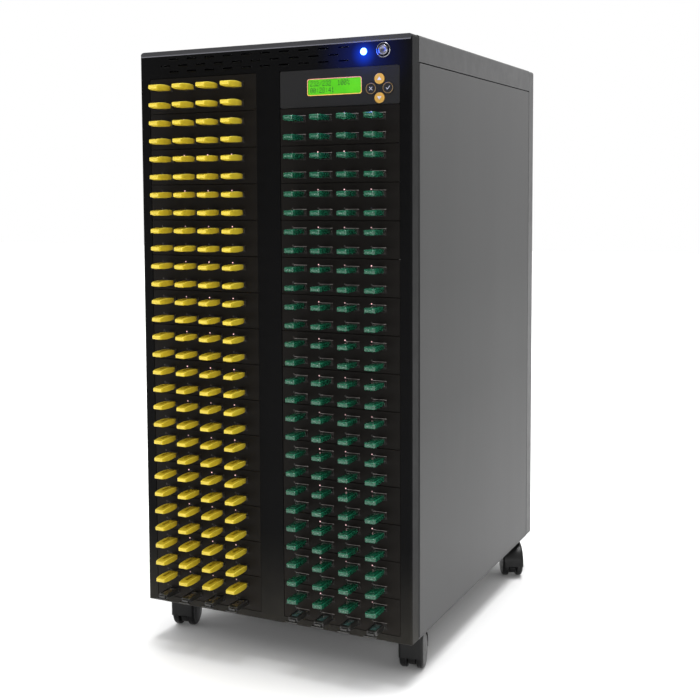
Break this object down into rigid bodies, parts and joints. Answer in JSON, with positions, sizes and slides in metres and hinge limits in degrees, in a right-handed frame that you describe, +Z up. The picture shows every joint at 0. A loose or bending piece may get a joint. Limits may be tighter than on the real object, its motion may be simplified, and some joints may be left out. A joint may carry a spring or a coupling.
{
  "type": "drive duplicator",
  "caption": "Floor-standing flash drive duplicator: black sheet-steel tower on casters, two columns of port modules with plugged drives, display with four keys, power button.",
  "frame": {"origin": "centre of the whole object's box in plan, on the floor", "axes": "+X to the right seen from the front, +Y from the front to the back, +Z up"},
  "size_m": [0.3668, 0.5286, 0.726],
  "materials": {
    "satin_black_steel": "satin black powder coat on sheet steel",
    "bezel_black": "fine-textured black moulding",
    "control_plate": "smooth dark grey-black",
    "lcd_glass": "backlit green dot-matrix display",
    "gold_key": "gold-coloured, polished",
    "black_key": "black with a gold rim",
    "blue_lens": "clear lens over a blue light",
    "port_lens": "small clear lens",
    "chrome_trim": "polished",
    "yellow_drive": "opaque yellow, satin",
    "green_drive": "deep green, see-through tint, polished",
    "black_drive": "black with a tinted window",
    "plug_steel": "nickel-plated stamping",
    "socket_steel": "nickel-plated stamping",
    "socket_tongue": "black",
    "circuit_board": "green solder mask",
    "bare_steel": "zinc-plated",
    "supply_case": "zinc-plated sheet",
    "fan_plastic": "black glass-filled",
    "guard_wire": "chromed wire",
    "inlet_plastic": "black",
    "brass_pins": "plated",
    "rocker": "black",
    "wire_jacket": "black jacket",
    "caster_plastic": "black nylon",
    "caster_wheel": "black nylon"
  },
  "bodies": {
    "cabinet": {"base_pan": "satin_black_steel", "bay_walls": "bare_steel", "black_drives": "black_drive", "caster_stems": "bare_steel", "control_board": "circuit_board", "control_panel_plate": "control_plate", "drive_plugs": "plug_steel", "fan_frames": "fan_plastic", "fan_guards": "guard_wire", "front_frame": "satin_black_steel", "green_drives": "green_drive", "hub_boards": "circuit_board", "lcd_module": "lcd_glass", "left_port_bezels": "bezel_black", "left_side_panel": "satin_black_steel", "mains_inlet": "inlet_plastic", "mains_inlet_pins": "brass_pins", "module_trays": "bare_steel", "panel_screws": "bare_steel", "port_status_lights": "port_lens", "power_button_ring": "chrome_trim", "power_light_lens": "blue_lens", "power_supply_case": "supply_case", "power_switch_body": "fan_plastic", "rear_panel": "satin_black_steel", "right_port_bezels": "bezel_black", "right_side_panel": "satin_black_steel", "thumb_screws": "chrome_trim", "top_cover": "satin_black_steel", "usb_socket_shells": "socket_steel", "usb_socket_tongues": "socket_tongue", "wiring_harness": "wire_jacket", "yellow_drives": "yellow_drive"},
    "caster_front_left": {"caster_front_left_hood": "caster_plastic"},
    "caster_front_left_wheel_left_body": {"caster_front_left_wheel_left": "caster_wheel"},
    "caster_front_left_wheel_right_body": {"caster_front_left_wheel_right": "caster_wheel"},
    "caster_front_right": {"caster_front_right_hood": "caster_plastic"},
    "caster_front_right_wheel_left_body": {"caster_front_right_wheel_left": "caster_wheel"},
    "caster_front_right_wheel_right_body": {"caster_front_right_wheel_right": "caster_wheel"},
    "caster_rear_left": {"caster_rear_left_hood": "caster_plastic"},
    "caster_rear_left_wheel_left_body": {"caster_rear_left_wheel_left": "caster_wheel"},
    "caster_rear_left_wheel_right_body": {"caster_rear_left_wheel_right": "caster_wheel"},
    "caster_rear_right": {"caster_rear_right_hood": "caster_plastic"},
    "caster_rear_right_wheel_left_body": {"caster_rear_right_wheel_left": "caster_wheel"},
    "caster_rear_right_wheel_right_body": {"caster_rear_right_wheel_right": "caster_wheel"},
    "power_button": {"power_button_cap": "chrome_trim"},
    "up_key_body": {"up_key": "gold_key"},
    "down_key_body": {"down_key": "gold_key"},
    "back_key_body": {"back_key": "black_key"},
    "enter_key_body": {"enter_key": "black_key"},
    "exhaust_fan_rotor_left_body": {"exhaust_fan_rotor_left": "fan_plastic"},
    "exhaust_fan_rotor_right_body": {"exhaust_fan_rotor_right": "fan_plastic"},
    "power_supply_fan_rotor_body": {"power_supply_fan_rotor": "fan_plastic"},
    "power_rocker": {"power_rocker_switch": "rocker"},
    "yellow_drive": {"yellow_drive_single": "yellow_drive", "yellow_drive_single_plug": "plug_steel"},
    "green_drive": {"green_drive_single": "green_drive", "green_drive_single_plug": "plug_steel"},
    "black_drive": {"black_drive_single": "black_drive", "black_drive_single_plug": "plug_steel"}
  },
  "joints": [
    {"name": "caster_front_left_swivel", "type": "hinge", "parent": "cabinet", "child": "caster_front_left", "pos_m": [-0.1554, -0.1817, 0.041], "axis": [0, 0, 1], "continuous": true},
    {"name": "caster_front_left_wheel_left_spin", "type": "hinge", "parent": "caster_front_left", "child": "caster_front_left_wheel_left_body", "pos_m": [-0.15855, -0.16806, 0.02], "axis": [0.9744, 0.225, 0], "continuous": true},
    {"name": "caster_front_left_wheel_right_spin", "type": "hinge", "parent": "caster_front_left", "child": "caster_front_left_wheel_right_body", "pos_m": [-0.15855, -0.16806, 0.02], "axis": [0.9744, 0.225, 0], "continuous": true},
    {"name": "caster_front_right_swivel", "type": "hinge", "parent": "cabinet", "child": "caster_front_right", "pos_m": [0.1554, -0.1817, 0.041], "axis": [0, 0, 1], "continuous": true},
    {"name": "caster_front_right_wheel_left_spin", "type": "hinge", "parent": "caster_front_right", "child": "caster_front_right_wheel_left_body", "pos_m": [0.15249, -0.16801, 0.02], "axis": [0.9781, 0.2079, 0], "continuous": true},
    {"name": "caster_front_right_wheel_right_spin", "type": "hinge", "parent": "caster_front_right", "child": "caster_front_right_wheel_right_body", "pos_m": [0.15249, -0.16801, 0.02], "axis": [0.9781, 0.2079, 0], "continuous": true},
    {"name": "caster_rear_left_swivel", "type": "hinge", "parent": "cabinet", "child": "caster_rear_left", "pos_m": [-0.1554, 0.2163, 0.041], "axis": [0, 0, 1], "continuous": true},
    {"name": "caster_rear_left_wheel_left_spin", "type": "hinge", "parent": "caster_rear_left", "child": "caster_rear_left_wheel_left_body", "pos_m": [-0.16154, 0.20372, 0.02], "axis": [-0.8988, 0.4384, 0], "continuous": true},
    {"name": "caster_rear_left_wheel_right_spin", "type": "hinge", "parent": "caster_rear_left", "child": "caster_rear_left_wheel_right_body", "pos_m": [-0.16154, 0.20372, 0.02], "axis": [-0.8988, 0.4384, 0], "continuous": true},
    {"name": "caster_rear_right_swivel", "type": "hinge", "parent": "cabinet", "child": "caster_rear_right", "pos_m": [0.1554, 0.2163, 0.041], "axis": [0, 0, 1], "continuous": true},
    {"name": "caster_rear_right_wheel_left_spin", "type": "hinge", "parent": "caster_rear_right", "child": "caster_rear_right_wheel_left_body", "pos_m": [0.16154, 0.20372, 0.02], "axis": [-0.8988, -0.4384, 0], "continuous": true},
    {"name": "caster_rear_right_wheel_right_spin", "type": "hinge", "parent": "caster_rear_right", "child": "caster_rear_right_wheel_right_body", "pos_m": [0.16154, 0.20372, 0.02], "axis": [-0.8988, -0.4384, 0], "continuous": true},
    {"name": "power_button_press", "type": "slide", "parent": "cabinet", "child": "power_button", "axis": [0, 1, 0], "range_m": [0, 0.0015], "stiffness_N_per_m": 900, "springref_m": -0.0005},
    {"name": "up_key_press", "type": "slide", "parent": "cabinet", "child": "up_key_body", "axis": [0, 1, 0], "range_m": [0, 0.0007], "stiffness_N_per_m": 800, "springref_m": -0.0003},
    {"name": "down_key_press", "type": "slide", "parent": "cabinet", "child": "down_key_body", "axis": [0, 1, 0], "range_m": [0, 0.0007], "stiffness_N_per_m": 800, "springref_m": -0.0003},
    {"name": "back_key_press", "type": "slide", "parent": "cabinet", "child": "back_key_body", "axis": [0, 1, 0], "range_m": [0, 0.0007], "stiffness_N_per_m": 800, "springref_m": -0.0003},
    {"name": "enter_key_press", "type": "slide", "parent": "cabinet", "child": "enter_key_body", "axis": [0, 1, 0], "range_m": [0, 0.0007], "stiffness_N_per_m": 800, "springref_m": -0.0003},
    {"name": "exhaust_fan_rotor_left_spin", "type": "hinge", "parent": "cabinet", "child": "exhaust_fan_rotor_left_body", "pos_m": [-0.078, 0.2421, 0.616], "axis": [0, 1, 0], "continuous": true},
    {"name": "exhaust_fan_rotor_right_spin", "type": "hinge", "parent": "cabinet", "child": "exhaust_fan_rotor_right_body", "pos_m": [0.078, 0.2421, 0.616], "axis": [0, 1, 0], "continuous": true},
    {"name": "power_supply_fan_rotor_spin", "type": "hinge", "parent": "cabinet", "child": "power_supply_fan_rotor_body", "pos_m": [-0.027, 0.2421, 0.109], "axis": [0, 1, 0], "continuous": true},
    {"name": "power_rocker_tip", "type": "hinge", "parent": "cabinet", "child": "power_rocker", "pos_m": [0.048, 0.2531, 0.1225], "axis": [1, 0, 0], "range_deg": [-14, 0]},
    {"name": "yellow_drive_pull", "type": "slide", "parent": "cabinet", "child": "yellow_drive", "axis": [0, -1, 0], "range_m": [0, 0.04]},
    {"name": "green_drive_pull", "type": "slide", "parent": "cabinet", "child": "green_drive", "axis": [0, -1, 0], "range_m": [0, 0.04]},
    {"name": "black_drive_pull", "type": "slide", "parent": "cabinet", "child": "black_drive", "axis": [0, -1, 0], "range_m": [0, 0.04]}
  ]
}
